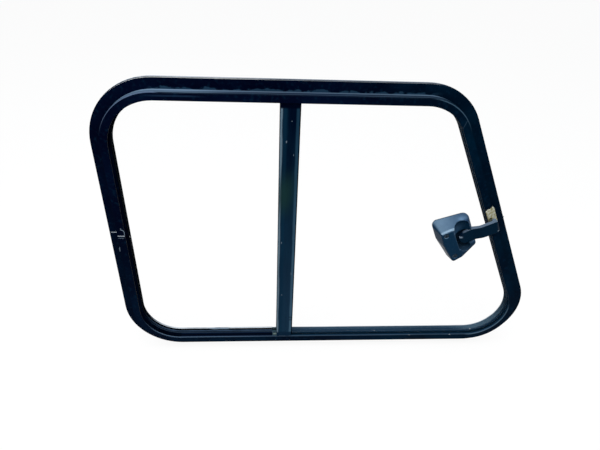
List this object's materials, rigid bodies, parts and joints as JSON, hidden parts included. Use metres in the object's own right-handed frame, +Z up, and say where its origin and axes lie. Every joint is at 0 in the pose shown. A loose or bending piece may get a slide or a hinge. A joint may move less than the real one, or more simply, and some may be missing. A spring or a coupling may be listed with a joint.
{
  "type": "van sliding window",
  "caption": "Half-sliding camper van side window: bent twin-track frame with a flange, fixed pane, sliding pane with a stile and a hinged latch lever.",
  "frame": {"origin": "on the flange face that seats on the van's outer skin, at the middle of the sill flange", "axes": "+X along the sill towards the leaning front jamb, -Y towards the inside of the van, +Z up"},
  "size_m": [0.7243, 0.0453, 0.5021],
  "materials": {
    "black_aluminium": "satin powder coat over extruded aluminium, dusty and scratched",
    "bare_aluminium": "bare cut aluminium",
    "dusty_stile": "satin powder coat with a film of dust",
    "clear_glass": "clear toughened glass",
    "black_rubber": "matt black rubber",
    "infill_strip": "ribbed rubber strip, dusty",
    "pile_strip": "black brushed pile",
    "foam_block": "dusty foam rubber",
    "nylon": "worn nylon",
    "latch_plastic": "moulded plastic, satin sheen",
    "lever_plastic": "moulded plastic, satin",
    "strike_plastic": "yellowed plastic, worn",
    "screw_steel": "zinc-plated steel"
  },
  "bodies": {
    "window": {"frame": "black_aluminium", "frame_joint_key": "bare_aluminium", "fixed_pane": "clear_glass", "fixed_pane_rubber": "black_rubber", "fixed_stile": "black_aluminium", "meeting_pile": "pile_strip", "sliding_pane": "clear_glass", "sliding_stile": "dusty_stile", "stile_rubber": "black_rubber", "guide_shoe_lower": "nylon", "guide_shoe_upper": "nylon", "track_liner_lower": "pile_strip", "track_liner_upper": "pile_strip", "track_liner_front": "pile_strip", "rear_buffer": "black_rubber", "track_infill": "infill_strip", "seal_block_lower": "foam_block", "seal_block_upper": "foam_block", "latch_pad": "black_rubber", "latch_housing": "latch_plastic", "latch_back_plate": "black_aluminium", "latch_screws": "screw_steel", "latch_pin": "screw_steel", "strike_plate": "strike_plastic", "strike_catch": "bare_aluminium"},
    "latch_lever": {"latch_lever": "lever_plastic"}
  },
  "joints": [
    {"name": "lever_hinge", "type": "hinge", "parent": "window", "child": "latch_lever", "pos_m": [0.1921, -0.0175, 0.25706], "axis": [0.4462, 0, -0.8949], "range_deg": [0, 10]}
  ]
}
